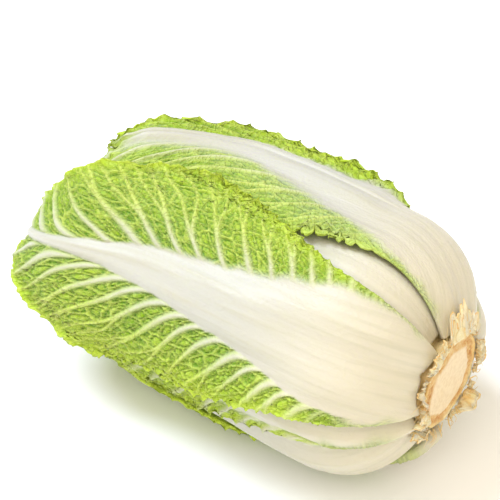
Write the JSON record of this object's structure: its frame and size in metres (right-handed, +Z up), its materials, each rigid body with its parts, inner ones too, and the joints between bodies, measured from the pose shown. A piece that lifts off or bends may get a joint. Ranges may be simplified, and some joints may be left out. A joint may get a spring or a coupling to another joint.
{
  "type": "napa cabbage",
  "caption": "Cut head of napa cabbage lying on its side: overlapping leaves with broad white midribs and crinkled green blades round a cut stem.",
  "frame": {"origin": "on the surface that the head rests on, under the middle of its length and width", "axes": "+X along the head towards its cut stem, -X towards the leaf tips, +Z up"},
  "size_m": [0.3016, 0.1648, 0.156],
  "materials": {
    "outer_leaf": "satin",
    "inner_leaf": "satin",
    "stem": "matte",
    "torn_base": "matte"
  },
  "bodies": {
    "root": {"stem": "stem", "bud": "inner_leaf", "front_leaf": "outer_leaf", "under_leaf": "outer_leaf", "top_leaf": "outer_leaf", "lower_front_leaf": "outer_leaf", "back_leaf": "outer_leaf", "upper_front_leaf": "outer_leaf", "lower_under_leaf": "outer_leaf", "upper_back_leaf": "outer_leaf", "inner_leaf_01": "inner_leaf", "inner_leaf_02": "inner_leaf", "inner_leaf_03": "inner_leaf", "inner_leaf_04": "inner_leaf", "inner_leaf_05": "inner_leaf", "inner_leaf_06": "inner_leaf", "inner_leaf_07": "inner_leaf", "inner_leaf_08": "inner_leaf", "inner_leaf_09": "inner_leaf", "inner_leaf_10": "inner_leaf", "inner_leaf_11": "inner_leaf", "inner_leaf_12": "inner_leaf", "inner_leaf_13": "inner_leaf", "inner_leaf_14": "inner_leaf", "inner_leaf_15": "inner_leaf", "inner_leaf_16": "inner_leaf", "inner_leaf_17": "inner_leaf", "inner_leaf_18": "inner_leaf", "torn_leaf_base_1": "torn_base", "torn_leaf_base_2": "torn_base", "torn_leaf_base_3": "torn_base", "torn_leaf_base_4": "torn_base", "torn_leaf_base_5": "torn_base", "torn_leaf_base_6": "torn_base", "torn_leaf_base_7": "torn_base"}
  },
  "joints": []
}
